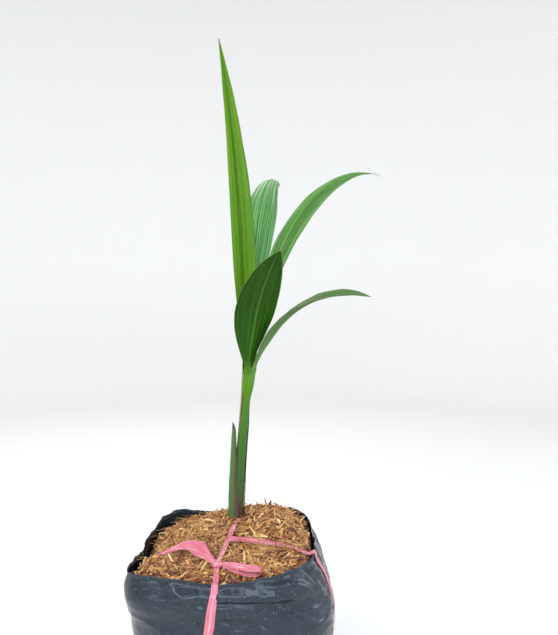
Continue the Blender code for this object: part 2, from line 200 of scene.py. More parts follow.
def keep(bm, name, paint, nodes=(), thick=0.0, tones=None, flat=False):
    bmesh.ops.recalc_face_normals(bm, faces=bm.faces)
    mesh = bpy.data.meshes.new(name)
    bm.to_mesh(mesh)
    bm.free()
    mesh.materials.append(paint.material)
    if not flat:
        mesh.shade_smooth()
    if tones:
        mesh.attributes.new("tone", "FLOAT", "POINT").data.foreach_set("value", tones)
    obj = bpy.data.objects.new(name, mesh)
    scene.collection.objects.link(obj)
    if thick:
        solid = obj.modifiers.new("thickness", "SOLIDIFY")
        solid.thickness = thick
        solid.offset = 0.0
    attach(obj, "root")
    if nodes:
        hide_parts(*nodes)
    return obj


def sheet(rows, columns, pointAt, closed=False):
    # a grid placed by a rule of (across, along), each from 0 to 1, with a map of the two
    bm = bmesh.new()
    bmesh.ops.create_grid(bm, x_segments=columns, y_segments=rows, size=0.5)
    layer = bm.loops.layers.uv.new("grain")
    for face in bm.faces:
        for loop in face.loops:
            loop[layer].uv = (loop.vert.co.x + 0.5, loop.vert.co.y + 0.5)
    for vert in bm.verts:
        vert.co = pointAt(clamp(vert.co.x + 0.5), clamp(vert.co.y + 0.5))
    if closed:
        bmesh.ops.remove_doubles(bm, verts=bm.verts, dist=1e-6)
    return bm


def gather(shapes):
    # one mesh out of (points, faces, tone) copies
    points, faces, tones = [], [], []
    for corners, sides, tone in shapes:
        start = len(points)
        points += corners
        faces += [tuple(start + i for i in side) for side in sides]
        tones += [tone] * len(corners)
    mesh = bpy.data.meshes.new("gathered")
    mesh.from_pydata(points, [], faces)
    bm = bmesh.new()
    bm.from_mesh(mesh)
    bpy.data.meshes.remove(mesh)
    return bm, tones


def template(bm):
    bm.verts.index_update()
    corners = [vert.co.copy() for vert in bm.verts]
    sides = [tuple(vert.index for vert in face.verts) for face in bm.faces]
    bm.free()
    return corners, sides


# camera, light and floor

view = {
    "place": (0.073, -0.8115, 0.6426), "down": 1.1, "lens": 31.0,
    "sky": (0.96, 0.98, 1.0, 1), "skyStrength": 0.60, "aim": (0.05, 0, 0.5),
}
bowl = {  # the floor, curved up into a wall all round
    "wall": 2.9, "round": 1.0, "reach": 3.4, "curveSteps": 12, "turnSteps": 72,
    "tones": ((0.90, 0.89, 0.875), (0.93, 0.92, 0.905)),
    "glow": (1.0, 0.985, 0.965, 1), "glowStrength": 0.02,
}

camera = bpy.data.objects.new("camera", bpy.data.cameras.new("camera"))
camera.data.sensor_width = 36
camera.data.lens = view["lens"]
camera.data.clip_start = 0.02
camera.location = view["place"]
camera.rotation_euler = (math.radians(90 - view["down"]), 0, 0)
scene.collection.objects.link(camera)
scene.camera = camera

lamps = (  # name, place, width and height, watts, colour
    ("key", (-1.3, -1.5, 2.1), (1.4, 1.0), 33, (0.98, 0.98, 1.0)),
    ("sky", (0.2, -2.3, 1.5), (2.0, 0.8), 36, (0.74, 0.86, 1.0)),
    ("side", (2.2, -0.7, 1.1), (0.35, 1.5), 22, (0.86, 0.93, 1.0)),
    ("left", (-2.2, -0.5, 1.0), (0.35, 1.4), 11, (0.88, 0.94, 1.0)),
    ("back", (-0.5, 2.0, 2.2), (1.4, 1.0), 12, (1.0, 1.0, 1.0)),
)


def makeLamp(name, place, size, watts, colour):
    lamp = bpy.data.objects.new(name, bpy.data.lights.new(name, "AREA"))
    lamp.data.shape = "RECTANGLE"
    lamp.data.size, lamp.data.size_y = size
    lamp.visible_camera = False
    lamp.data.energy = watts
    lamp.data.color = colour
    lamp.location = place
    toPlant = Vector(view["aim"]) - Vector(place)
    lamp.rotation_euler = toPlant.to_track_quat("-Z", "Y").to_euler()
    scene.collection.objects.link(lamp)


for lamp in lamps:
    makeLamp(*lamp)

world = bpy.data.worlds.new("studio")
world.use_nodes = True
sky = world.node_tree.nodes["Background"].inputs
sky["Color"].default_value = view["sky"]
sky["Strength"].default_value = view["skyStrength"]
scene.world = world
scene.view_settings.view_transform = "Standard"


def makeFloor():
    paint = Paint("floor", Roughness=0.9, Emission_Color=bowl["glow"],
                  Emission_Strength=bowl["glowStrength"])
    speckle = paint.noise(140, 4)
    paint.set("Base Color", paint.blend(speckle, *bowl["tones"]))
    profile = [(0.0, 0.0), (bowl["wall"] * 0.5, 0.0), (bowl["wall"], 0.0)]
    for step in range(1, bowl["curveSteps"] + 1):
        turn = math.pi / 2 * step / bowl["curveSteps"]
        profile.append((bowl["wall"] + bowl["round"] * math.sin(turn),
                        bowl["round"] * (1 - math.cos(turn))))
    profile.append((bowl["wall"] + bowl["round"], bowl["reach"]))
    bm = bmesh.new()
    verts = [bm.verts.new((across, 0, height)) for across, height in profile]
    edges = [bm.edges.new(pair) for pair in zip(verts, verts[1:])]
    bmesh.ops.spin(bm, geom=verts + edges, cent=(0, 0, 0), axis=(0, 0, 1), angle=math.tau,
                   steps=bowl["turnSteps"], use_merge=True)
    bmesh.ops.remove_doubles(bm, verts=bm.verts, dist=1e-5)
    mesh = bpy.data.meshes.new("floor")
    bm.to_mesh(mesh)
    bm.free()
    mesh.materials.append(paint.material)
    mesh.shade_smooth()
    floor = bpy.data.objects.new("floor", mesh)
    scene.collection.objects.link(floor)


makeFloor()
print("camera, light and floor")


# the bag's shape, as in the part

bag = {
    "rim": 0.299, "bellyHeight": 0.215, "round": 0.012,
    "foot": (0.122, 0.115), "belly": (0.1405, 0.126), "mouth": (0.1235, 0.117),
    "shift": 0.0095, "square": (2.9, 4.2),
    # direction, rise and spread of each wave of the rim
    "waves": ((182, -0.015, 22), (268, -0.011, 26), (318, 0.005, 16), (133, 0.003, 14),
              (45, 0.003, 25), (152, -0.007, 14), (104, -0.008, 17), (126, -0.002, 12)),
    # direction, reach, spread and how far down the corner's fold fades
    "fold": (221.5, 0.016, 9, 0.045),
    # height, direction, depth, spread round and spread up
    "dents": (
        (0.262, 300, 0.004, 26, 0.010), (0.240, 250, 0.003, 22, 0.012),
        (0.175, 285, 0.003, 34, 0.014), (0.110, 240, 0.003, 30, 0.016),
        (0.225, 20, 0.004, 16, 0.020), (0.150, 345, 0.003, 24, 0.016),
        (0.205, 150, 0.003, 28, 0.014), (0.120, 100, 0.003, 34, 0.014),
    ),
}
# direction of each stretch of ribbon at the rim and at the foot
ribbonWalls = ((265.5, 255.0), (89.0, 100.0), (-26.0, -23.0))
ribbonSlant = 5


def rimHeight(direction):
    return bag["rim"] + sum(
        rise * hump(turnBetween(direction, at), spread) for at, rise, spread in bag["waves"]
    )


def filmPoint(direction, height, inset=0.0):
    low = min(height / bag["bellyHeight"], 1.0)
    high = max((height - bag["bellyHeight"]) / (bag["rim"] - bag["bellyHeight"]), 0.0)
    swell = math.sin(max(low, 0) * math.pi / 2)
    close = 1 - math.cos(min(high, 1.2) * math.pi / 2)
    half = [
        mix(foot, belly, swell) - (belly - mouth) * close
        for foot, belly, mouth in zip(bag["foot"], bag["belly"], bag["mouth"])
    ]
    power = mix(*bag["square"], min(height / bag["rim"], 1.0))
    angle = math.radians(direction)
    across = abs(math.cos(angle) / half[0]) ** power + abs(math.sin(angle) / half[1]) ** power
    radius = across ** (-1 / power)
    foldAt, reach, spread, fade = bag["fold"]
    below = max(rimHeight(direction) - height, 0.0)
    radius += reach * hump(turnBetween(direction, foldAt), spread) * hump(below, fade)
    for level, at, depth, turn, tall in bag["dents"]:
        radius -= depth * hump(turnBetween(direction, at), turn) * hump(height - level, tall)
    radius -= inset
    shift = bag["shift"] * swell * (1 - 1.15 * close)
    return Vector((shift + radius * math.cos(angle), radius * math.sin(angle), height))


def filmNormal(direction, height):
    step = 0.5
    around = filmPoint(direction + step, height) - filmPoint(direction - step, height)
    rise = filmPoint(direction, height + 0.001) - filmPoint(direction, height - 0.001)
    return around.cross(rise).normalized()


# the film: how it creases

film = {
    "columns": 360, "rows": 126, "under": 8, "foot": 6, "thick": 0.0004,
    "perDegree": 0.00248, "lip": 0.0022, "flutter": 0.0030,
    "puff": 0.0044, "ridge": 0.0020, "fine": 0.0008, "shoulder": 0.0070,
    # direction, spread round, depth below the rim and spread up
    "shoulderAt": (275, 42, 0.025, 0.014),
    # direction, spread round, rise, depth below the rim and spread up
    "bulges": ((222, 24, 0.0075, 0.040, 0.035), (330, 16, 0.0030, 0.050, 0.040),
               (248, 9, 0.0032, 0.020, 0.012), (296, 11, 0.0030, 0.016, 0.010)),
    # from (direction, height) to (direction, height), rise or depth, and width
    "creases": (
        (243, 0.2655, 300, 0.2640, -0.0046, 0.0036), (243, 0.2755, 298, 0.2740, 0.0032, 0.0070),
        (284, 0.2900, 311, 0.2830, 0.0016, 0.0035), (288, 0.2760, 312, 0.2690, 0.0014, 0.0040),
        (230, 0.2700, 246, 0.2560, 0.0018, 0.0040), (300, 0.2640, 318, 0.2380, -0.0020, 0.0040),
        (316, 0.2960, 328, 0.2420, 0.0022, 0.0045), (326, 0.2900, 336, 0.2300, 0.0018, 0.0040),
        (338, 0.2800, 346, 0.2000, -0.0016, 0.0050), (250, 0.2450, 292, 0.2380, -0.0022, 0.0040),
        (256, 0.2120, 304, 0.2020, 0.0020, 0.0060), (232, 0.1800, 282, 0.1700, -0.0024, 0.0050),
        (270, 0.1420, 330, 0.1300, -0.0022, 0.0050), (215, 0.1150, 262, 0.1020, -0.0020, 0.0050),
        (285, 0.0720, 345, 0.0640, -0.0020, 0.0050), (10, 0.2200, 60, 0.2050, -0.0022, 0.0050),
        (350, 0.1500, 38, 0.1650, -0.0020, 0.0050), (75, 0.1300, 140, 0.1180, -0.0022, 0.0050),
        (120, 0.2250, 172, 0.2120, -0.0022, 0.0050), (165, 0.1600, 212, 0.1500, -0.0020, 0.0050),
        (60, 0.2650, 112, 0.2560, -0.0018, 0.0045), (175, 0.2600, 208, 0.2480, -0.0018, 0.0045),
    ),
}


def wallTurn(walls, share):
    # the ribbon slants most just below the rim
    return mix(*walls, 1 - (1 - share) ** ribbonSlant)


def nearRibbon(direction, height):
    share = clamp(1 - height / bag["rim"])
    return max(
        hump(turnBetween(direction, wallTurn(walls, share)), 3.4) for walls in ribbonWalls
    )


def creased(direction, height):
    total = 0.0
    for start, low, end, high, rise, width in film["creases"]:
        middle = (start + end) / 2
        if turnBetween(direction, middle) > abs(end - start) / 2 + 8:
            continue
        along = ((direction - start + 180) % 360 - 180) * film["perDegree"]
        span = (end - start) * film["perDegree"]
        slope = high - low
        length = span * span + slope * slope
        share = (along * span + (height - low) * slope) / length
        held = clamp(share)
        off = math.hypot(along - span * held, height - low - slope * held)
        total += rise * hump(off, width) * math.sin(math.pi * mix(0.12, 0.88, held)) ** 0.6
    return total


def wrinkle(direction, height):
    turn = math.radians(direction)
    x, y = 0.13 * math.cos(turn), 0.13 * math.sin(turn)
    warp = 0.35 * noise.noise(Vector((x * 20, y * 20, height * 18 + 7)))
    broad = noise.noise(Vector((x * 17, y * 17, height * 34 + warp)))
    slant = noise.noise(Vector((x * 24 + height * 20, y * 24 - height * 16, height * 22 + 31)))
    small = noise.noise(Vector((x * 55, y * 55, height * 100 + warp * 3 + 3)))
    tiny = noise.noise(Vector((x * 120 + 9, y * 120, height * 170)))
    ridge = (1 - abs(slant)) ** 9
    out = film["puff"] * (abs(broad) - 0.22) + film["ridge"] * (ridge - 0.25)
    out += film["fine"] * (abs(small) - 0.2) + film["fine"] * 0.4 * (1 - abs(tiny)) ** 6
    fade = smooth(height / 0.03)
    crumpled = hump(turnBetween(direction, 334), 16) * hump(max(0.24 - height, 0), 0.05)
    out += crumpled * (0.0030 * (1 - abs(small)) ** 4 + 0.0022 * abs(slant) - 0.0016)
    return (out * fade + creased(direction, height)) * (1 - 0.9 * nearRibbon(direction, height))


def rimEdge(direction):
    turn = math.radians(direction)
    spot = Vector((math.cos(turn), math.sin(turn), 0))
    return rimHeight(direction) + 0.0014 * noise.noise(spot * 9) + 0.0010 * noise.noise(spot * 31)


def filmSurface(direction, height):
    below = rimEdge(direction) - height
    turn = math.radians(direction)
    out = wrinkle(direction, height)
    waver = noise.noise(Vector((math.cos(turn) * 7, math.sin(turn) * 7, height * 30)))
    out += film["flutter"] * waver * smooth(1 - below / 0.022)
    out += film["lip"] * smooth(1 - below / 0.004)
    at, spread, level, tall = film["shoulderAt"]
    front = hump(turnBetween(direction, at), spread)
    out += film["shoulder"] * front * hump(below - level, tall)
    for at, spread, rise, level, tall in film["bulges"]:
        out += rise * hump(turnBetween(direction, at), spread) * hump(below - level, tall)
    return filmPoint(direction, height) + filmNormal(direction, max(height, 0.02)) * out


def channelDepth(x, y):
    # the ribbon lies in a groove of the underside
    loopOff = abs(x + 0.0245)
    depth = smooth(1.6 - loopOff / 0.0085)
    if x > -0.02:
        depth = max(depth, smooth(1.6 - abs(y + 0.0475) / 0.0080))
    return 0.0019 * depth


def bagPoint(across, along):
    direction = 360 * across
    row = along * film["rows"]
    under, foot = film["under"], film["foot"]
    rounding = bag["round"]
    if row <= under:
        share = row / under
        edge = filmPoint(direction, 0.0, rounding)
        spot = Vector((edge.x * share, edge.y * share, 0))
        return spot + up * channelDepth(spot.x, spot.y)
    if row <= under + foot:
        turn = math.pi / 2 * (row - under) / foot
        height = rounding * (1 - math.cos(turn))
        spot = filmPoint(direction, height, rounding * (1 - math.sin(turn)))
        return spot + up * channelDepth(spot.x, spot.y) * (1 - height / rounding)
    share = (row - under - foot) / (film["rows"] - under - foot)
    height = mix(rounding, rimEdge(direction), share ** 0.86)
    return filmSurface(direction, height)


def filmPaint():
    paint = Paint("film", Metallic=0.0, IOR=1.40, Specular_Tint=(0.74, 0.88, 1.0, 1.0),
                  Coat_Weight=0.22, Coat_Roughness=0.12)
    broad = paint.noise(14, 4, (1, 1, 1.6))
    dust = paint.noise(260, 5)
    smear = paint.noise(34, 5, (1, 1, 0.5), rough=0.7)
    colour = paint.blend(broad, (0.008, 0.011, 0.016), (0.018, 0.024, 0.032))
    haze = ((smear - 0.54) * 3.2).held() * 0.22
    colour = paint.blend(haze, colour, (0.085, 0.098, 0.115))
    specks = ((dust - 0.66) * 9).held() * 0.55
    paint.set("Base Color", paint.blend(specks, colour, (0.30, 0.31, 0.31)))
    paint.set("Roughness", 0.13 + smear * 0.20 + specks * 0.3)
    lines = paint.noise(70, 6, (1, 1, 1.9), rough=0.62)
    veins = paint.noise(210, 4, (1, 1, 1.5))
    paint.bump((lines - 0.5).size() * 2 + veins * 0.22, 0.0011, 0.75)
    return paint


def makeBag():
    bm = sheet(film["rows"], film["columns"], bagPoint, closed=True)
    return keep(bm, "bag_film", filmPaint(), ("grow_bag",), film["thick"])


makeBag()
print("bag film")


# the mound of husk

fill = {
    "level": 0.2845, "inset": 0.0034,
    "bumps": (
        (0.028, 0.030, 0.0365, 0.092), (0.070, 0.085, 0.0120, 0.050),
        (-0.118, 0.010, -0.0120, 0.034), (-0.085, -0.080, 0.0090, 0.042),
        (0.095, -0.075, 0.0110, 0.045), (0.000, -0.085, 0.0050, 0.030),
    ),
    # direction, spread, depth and reach inwards of each place where the husk has settled
    "settled": ((172, 42, 0.0115, 0.35), (118, 30, 0.0060, 0.25), (48, 26, 0.0085, 0.45)),
    "hollow": (0.035, 0.055, 0.0030, 0.05), "underRim": 0.004,
    "rows": 70, "columns": 180, "sink": 0.0065, "lump": 0.0040,
}
stem = {
    "foot": Vector((0.0085, 0.0350, 0.3153)), "top": Vector((0.0256, 0.0338, 0.5399)),
    "bow": 0.0015,
    "radii": ((0.0, 0.0092), (0.12, 0.0082), (0.45, 0.0068), (0.8, 0.0068), (1.0, 0.0086)),
}


def fillHeight(x, y):
    return fill["level"] + sum(
        rise * hump(math.hypot(x - atX, y - atY), spread)
        for atX, atY, rise, spread in fill["bumps"]
    )


def settledHeight(x, y):
    # the husk lies just under the rim where it meets the film
    direction = math.degrees(math.atan2(y, x))
    edge = filmPoint(direction, bag["rim"], fill["inset"])
    near = smooth(math.hypot(x, y) / math.hypot(edge.x, edge.y) * 5 - 4)
    high = fillHeight(x, y)
    for at, spread, depth, reach in fill["settled"]:
        high -= depth * hump(turnBetween(direction, at), spread) * smooth(near + reach)
    atX, atY, depth, spread = fill["hollow"]
    high -= depth * hump(math.hypot(x - atX, y - atY), spread)
    return mix(high, min(high, rimHeight(direction) - fill["underRim"]), near)


def moundPoint(across, along):
    direction = 360 * across
    edge = filmPoint(direction, bag["rim"] - 0.006, fill["inset"])
    share = 1 - along
    x, y = edge.x * share, edge.y * share
    lump = fill["lump"] * noise.fractal(Vector((x, y, 0.3)) * 90, 1.0, 2.2, 3)
    high = settledHeight(x, y) - fill["sink"] + lump - 0.004 * smooth(along * -9 + 1)
    return Vector((x, y, high))


def huskPaint(name, stops, bumpSize=0.0006):
    paint = Paint(name, Metallic=0.0)
    tone = paint.attribute("tone")
    grain = paint.noise(420, 4, (1, 1, 1))
    blotch = paint.noise(90, 4)
    paint.set("Base Color", paint.ramp((tone + (grain - 0.5) * 0.30 + (blotch - 0.5) * 0.22).held(),
                                       stops))
    paint.set("Roughness", 0.62 + grain * 0.25)
    paint.bump(grain, bumpSize, 0.8)
    return paint


huskStops = (
    (0.00, (0.055, 0.018, 0.010)), (0.20, (0.150, 0.048, 0.024)), (0.40, (0.330, 0.118, 0.040)),
    (0.60, (0.520, 0.245, 0.078)), (0.80, (0.730, 0.430, 0.155)), (1.00, (0.880, 0.640, 0.320)),
)


def makeMound():
    bm = sheet(fill["rows"], fill["columns"], moundPoint, closed=True)
    # the bed under the chips is toned near the dark end of the ramp, as painted shade in the gaps
    # between chips
    tones = [0.10 + 0.16 * noise.noise(vert.co * 160) for vert in bm.verts]
    keep(bm, "husk_mound", huskPaint("husk_bed", huskStops, 0.0012), ("husk_fill",),
         tones=tones)


makeMound()

ribbonPath = {
    "knot": Vector((-0.0095, -0.0900, 0.0)), "crossing": Vector((0.0, -0.0320, 0.0)),
    "dip": Vector((0.0840, -0.0445, 0.0)),
    "beforeStem": stem["foot"] + Vector((0.0035, -0.0150, 0.0)),
    "behindStem": stem["foot"] + Vector((-0.0015, 0.0160, 0.0)),
    "tail": (
        (-0.018, -0.083), (-0.030, -0.070), (-0.043, -0.058), (-0.058, -0.050), (-0.074, -0.047),
        (-0.088, -0.046), (-0.100, -0.048),
    ),
}


def ribbonRuns():
    # where the ribbon crosses the husk, as straight runs in plan
    front = filmPoint(ribbonWalls[0][0], 0.29)
    back = filmPoint(ribbonWalls[1][0], 0.29)
    right = filmPoint(ribbonWalls[2][0], 0.29)
    tail = [Vector((x, y, 0)) for x, y in ribbonPath["tail"]]
    runs = [(front, ribbonPath["knot"]), (ribbonPath["knot"], ribbonPath["crossing"]),
            (ribbonPath["crossing"], ribbonPath["beforeStem"]),
            (ribbonPath["crossing"], ribbonPath["dip"]), (ribbonPath["dip"], right),
            (ribbonPath["behindStem"], back),
            (ribbonPath["knot"], ribbonPath["knot"] + Vector((0.055, -0.012, 0)))]
    return runs + list(zip(tail, tail[1:]))


runs = [(start.to_2d(), end.to_2d()) for start, end in ribbonRuns()]


def offRibbon(x, y):
    spot = Vector((x, y))
    nearest = 1.0
    for start, end in runs:
        line = end - start
        share = clamp((spot - start).dot(line) / line.length_squared)
        nearest = min(nearest, (spot - start - line * share).length)
    return nearest


chips = {
    "kinds": 8, "sections": 5,
    "tones": (0.14, 0.80), "cling": 0.0075, "under": -0.0045,
    # name, count, length, width, thickness, height over the bed, tilt, seed, and how much painted
    # shade darkens the layer
    "layers": (
        ("husk_chips_low", 1700, (0.012, 0.030), (0.0018, 0.0044), (0.0008, 0.0016),
         (-0.0060, -0.0025), 14, 11, 0.34),
        ("husk_chips_middle", 1700, (0.014, 0.034), (0.0016, 0.0044), (0.0007, 0.0015),
         (-0.0038, -0.0005), 15, 12, 0.12),
        ("husk_chips_top", 1150, (0.012, 0.036), (0.0014, 0.0042), (0.0006, 0.0014),
         (-0.0015, 0.0022), 17, 13, 0.0),
        ("husk_crumbs", 1900, (0.004, 0.011), (0.0010, 0.0026), (0.0006, 0.0014),
         (-0.0035, 0.0018), 28, 14, 0.0),
    ),
}


def chipTemplate(seed):
    # a torn sliver of unit length and width: tapered, bent and twisted
    dice = random.Random(seed)
    bm = bmesh.new()
    bmesh.ops.create_cube(bm, size=1.0)
    long = [edge for edge in bm.edges if abs(edge.verts[0].co.x - edge.verts[1].co.x) > 0.5]
    bmesh.ops.subdivide_edges(bm, edges=long, cuts=chips["sections"] - 1, use_grid_fill=True)
    taper = dice.uniform(0.25, 0.8), dice.uniform(0.25, 0.9)
    bend, twist, cup = dice.uniform(-1.5, 1.5), dice.uniform(-0.5, 0.5), dice.uniform(0, 0.6)
    for vert in bm.verts:
        x, y, z = vert.co
        narrow = mix(1.0, taper[0 if x < 0 else 1], (abs(x) * 2) ** 1.6)
        ragged = 1 + 0.35 * noise.noise(Vector((x * 5, y * 3, z * 3 + seed * 7)))
        y *= narrow * ragged
        z += bend * (x * x - 0.12) + cup * y * y
        turn = twist * x * 2
        vert.co = (x + 0.05 * noise.noise(Vector((y * 9, z * 4, seed))),
                   y * math.cos(turn) - z * 0.2 * math.sin(turn),
                   z + y * 0.5 * math.sin(turn))
    return template(bm)


def insideBag(x, y, z, inset=0.0045):
    direction = math.degrees(math.atan2(y, x))
    edge = filmPoint(direction, min(z, bag["rim"]), inset)
    return math.hypot(x, y) < math.hypot(edge.x, edge.y)


def bedNormal(x, y, step=0.004):
    slopeX = (settledHeight(x + step, y) - settledHeight(x - step, y)) / (2 * step)
    slopeY = (settledHeight(x, y + step) - settledHeight(x, y - step)) / (2 * step)
    return Vector((-slopeX, -slopeY, 1)).normalized()


def chipPlace(dice, length, tilt):
    # a spot on the bed, and the chip's turn there
    while True:
        x, y = dice.uniform(-0.135, 0.135), dice.uniform(-0.125, 0.125)
        yaw = dice.uniform(0, math.pi)
        reach = spoke(yaw) * length / 2
        z = settledHeight(x, y)
        if not all(insideBag(x + side * reach.x, y + side * reach.y, z) for side in (-1, 1)):
            continue
        close = Vector((x, y)) - stem["foot"].to_2d()
        if close.length < 0.0105 + abs(close.normalized().dot(spoke(yaw).to_2d())) * length / 2:
            continue
        lean = Matrix.Rotation(math.radians(dice.gauss(0, tilt)), 3, "Y")
        roll = Matrix.Rotation(math.radians(dice.gauss(0, tilt * 1.3)), 3, "X")
        seat = up.rotation_difference(bedNormal(x, y)).to_matrix()
        return x, y, z, seat @ Matrix.Rotation(yaw, 3, "Z") @ lean @ roll


def makeChips():
    kinds = [chipTemplate(seed) for seed in range(chips["kinds"])]
    paint = huskPaint("husk_chip", huskStops)
    dark, span = chips["tones"]
    for name, count, lengths, widths, thicks, lifts, tilt, seed, paintedShade in chips["layers"]:
        dice = random.Random(seed)
        shapes = []
        for _ in range(count):
            length = mix(*lengths, dice.random() ** 1.3)
            x, y, z, turn = chipPlace(dice, length, tilt)
            lift = dice.uniform(*lifts)
            clear = smooth(offRibbon(x, y) / chips["cling"] - 0.9)
            lift = mix(min(lift, chips["under"]), lift, clear)
            size = Vector((length, dice.uniform(*widths), dice.uniform(*thicks)))
            corners, sides = dice.choice(kinds)
            spot = Vector((x, y, z + lift))
            # lower layers of chips are coloured darker as painted shade, where the chips above them
            # shade them
            tone = clamp(dark + span * dice.random() - paintedShade)
            shapes.append(([spot + turn @ (corner * size) for corner in corners], sides, tone))
        bm, tones = gather(shapes)
        keep(bm, name, paint, tones=tones, flat=True)


makeChips()

fibres = {
    "count": 1300, "length": (0.012, 0.045), "thick": (0.00016, 0.00034), "seed": 21, "cuts": 6,
    "curls": 26, "curlLength": (0.010, 0.030), "curlThick": 0.00022,
}


def fibreShape(dice, start, heading, length, thick, curl, rise, kind):
    corners, sides = kind
    placed = []
    turn = Matrix.Rotation(heading, 3, "Z")
    sway, phase = dice.uniform(-curl, curl), dice.uniform(0, 6)
    for corner in corners:
        along = corner.x + 0.5
        across = sway * along * along + 0.06 * curl * math.sin(along * 7 + phase)
        height = rise * math.sin(along * math.pi * 0.9) + 0.04 * math.sin(along * 9 + phase)
        spot = Vector((along * length, across * length + corner.y * thick,
                       height * length + corner.z * thick))
        placed.append(start + turn @ spot)
    return placed, sides


def fibreTemplate(cuts):
    bm = bmesh.new()
    bmesh.ops.create_cone(bm, segments=4, radius1=1, radius2=0.6, depth=1, cap_ends=True)
    lying = Matrix.Rotation(math.pi / 2, 3, "Y")
    bmesh.ops.rotate(bm, verts=bm.verts, cent=(0, 0, 0), matrix=lying)
    long = [edge for edge in bm.edges if abs(edge.verts[0].co.x - edge.verts[1].co.x) > 0.5]
    bmesh.ops.subdivide_edges(bm, edges=long, cuts=cuts, use_grid_fill=True)
    return template(bm)


def makeFibres():
    dice = random.Random(fibres["seed"])
    kind = fibreTemplate(fibres["cuts"])
    shapes = []
    for _ in range(fibres["count"]):
        length = dice.uniform(*fibres["length"])
        x, y, z, _ = chipPlace(dice, length, 5)
        heading = dice.uniform(0, math.tau)
        reach = spoke(heading) * length
        if not insideBag(x + reach.x, y + reach.y, z, 0.006):
            continue
        drop = settledHeight(x + reach.x, y + reach.y) - z
        start = Vector((x, y, z + dice.uniform(-0.0010, 0.0024) + max(drop, 0) * 0.5))
        corners, sides = fibreShape(dice, start, heading, length, dice.uniform(*fibres["thick"]),
                                    0.5, dice.uniform(-0.02, 0.14), kind)
        shapes.append((corners, sides, clamp(dice.uniform(0.3, 0.95))))
    for _ in range(fibres["curls"]):  # dry curls at the foot of the stem
        turn = dice.uniform(0, math.tau)
        start = stem["foot"] + spoke(turn) * 0.0088 + up * dice.uniform(-0.002, 0.012)
        corners, sides = fibreShape(dice, start, turn + dice.uniform(-0.7, 0.7),
                                    dice.uniform(*fibres["curlLength"]), fibres["curlThick"], 0.9,
                                    dice.uniform(0.0, 0.55), kind)
        shapes.append((corners, sides, dice.uniform(0.05, 0.4)))
    bm, tones = gather(shapes)
    keep(bm, "husk_fibres", huskPaint("husk_fibre", huskStops, 0.0002), tones=tones)


makeFibres()
print("husk")


# stem

stemLook = {
    "rows": 150, "columns": 72, "sink": 0.012, "rise": 0.020, "closes": 0.97,
    # turn at the foot, turn at the top and height of each leaf base's edge
    "seams": ((0.6, 2.4, 0.00050), (2.7, 3.6, 0.00042), (4.5, 5.0, 0.00055), (5.6, 6.9, 0.00035)),
}


def stemCentre(share):
    bow = Vector((-stem["bow"] * math.sin(clamp(share) * math.pi), 0, 0))
    return stem["foot"].lerp(stem["top"], share) + bow


def stemRadius(turn, share):
    radius = through(stem["radii"], clamp(share))
    for low, high, rise in stemLook["seams"]:
        past = math.sin((turn - mix(low, high, share)) / 2)
        shown = smooth(share * 8 + 0.4) * smooth(4.0 - share * 5)
        radius += rise * (0.5 - 0.5 * math.tanh(past * 9)) * shown
    spot = Vector((math.cos(turn) * 3, math.sin(turn) * 3, share * 1.5))
    radius += 0.00025 * noise.noise(spot * 2) + 0.00012 * noise.noise(spot * 7)
    radius -= 0.0004 * hump(share - 0.16, 0.012) + 0.0003 * hump(share - 0.30, 0.010)
    return radius


def stemPoint(across, along):
    turn = math.tau * across
    length = (stem["top"] - stem["foot"]).length
    height = mix(-stemLook["sink"], length + stemLook["rise"], along)
    share = height / length
    radius = stemRadius(turn, share)
    closes = stemLook["closes"]
    if share > closes:
        past = (share - closes) / (1 + stemLook["rise"] / length - closes)
        radius *= math.sqrt(max(1 - past ** 2, 0.0))
    centre = stemCentre(clamp(share)) + (stem["top"] - stem["foot"]) * (share - clamp(share))
    return centre + spoke(turn) * radius


def stemPaint():
    paint = Paint("stem", Metallic=0.0, Specular_IOR_Level=0.25)
    _, along = paint.grain()
    streak = paint.noise(150, 4, (1, 1, 0.05))
    blotch = paint.noise(60, 4, (1, 1, 0.35))
    green = paint.ramp((along + (blotch - 0.5) * 0.25).held(), (
        (0.00, (0.052, 0.022, 0.016)), (0.10, (0.062, 0.030, 0.020)), (0.20, (0.036, 0.075, 0.018)),
        (0.45, (0.032, 0.100, 0.008)), (0.80, (0.050, 0.150, 0.005)), (1.00, (0.085, 0.200, 0.006)),
    ))
    pale = ((streak - 0.54) * 4).held() * 0.28
    colour = paint.blend(pale, green, (0.11, 0.25, 0.03))
    dark = ((0.44 - streak) * 5).held() * 0.4
    paint.set("Base Color", paint.blend(dark, colour, (0.030, 0.085, 0.020)))
    paint.set("Roughness", 0.34 + blotch * 0.2)
    paint.bump(streak + blotch * 0.3, 0.0004, 0.5)
    return paint


def makeStem():
    bm = sheet(stemLook["rows"], stemLook["columns"], stemPoint, closed=True)
    keep(bm, "palm_stem", stemPaint(), ("stem",))


makeStem()

sheathGrid = (64, 26)
sheaths = {
    # share of the stem at foot and tip, middle direction, half spread at both, thickness and how
    # ragged the edge is, then how far its own axis stands off and its radius, foot, middle and tip
    "basal": (-0.03, 0.66, 186, 118, 128, 0.0012, 0.006,
              (0.0035, 0.0092, 0.0138), (0.0112, 0.0068, 0.0031)),
    "dry": (0.58, 1.02, 206, 14, 32, 0.0006, 0.050, (0, 0, 0), (0.0074, 0.0078, 0.0094)),
    "remnant": (0.08, 0.26, 345, 30, 12, 0.0006, 0.060, (0, 0, 0), (0.0096, 0.0090, 0.0084)),
}


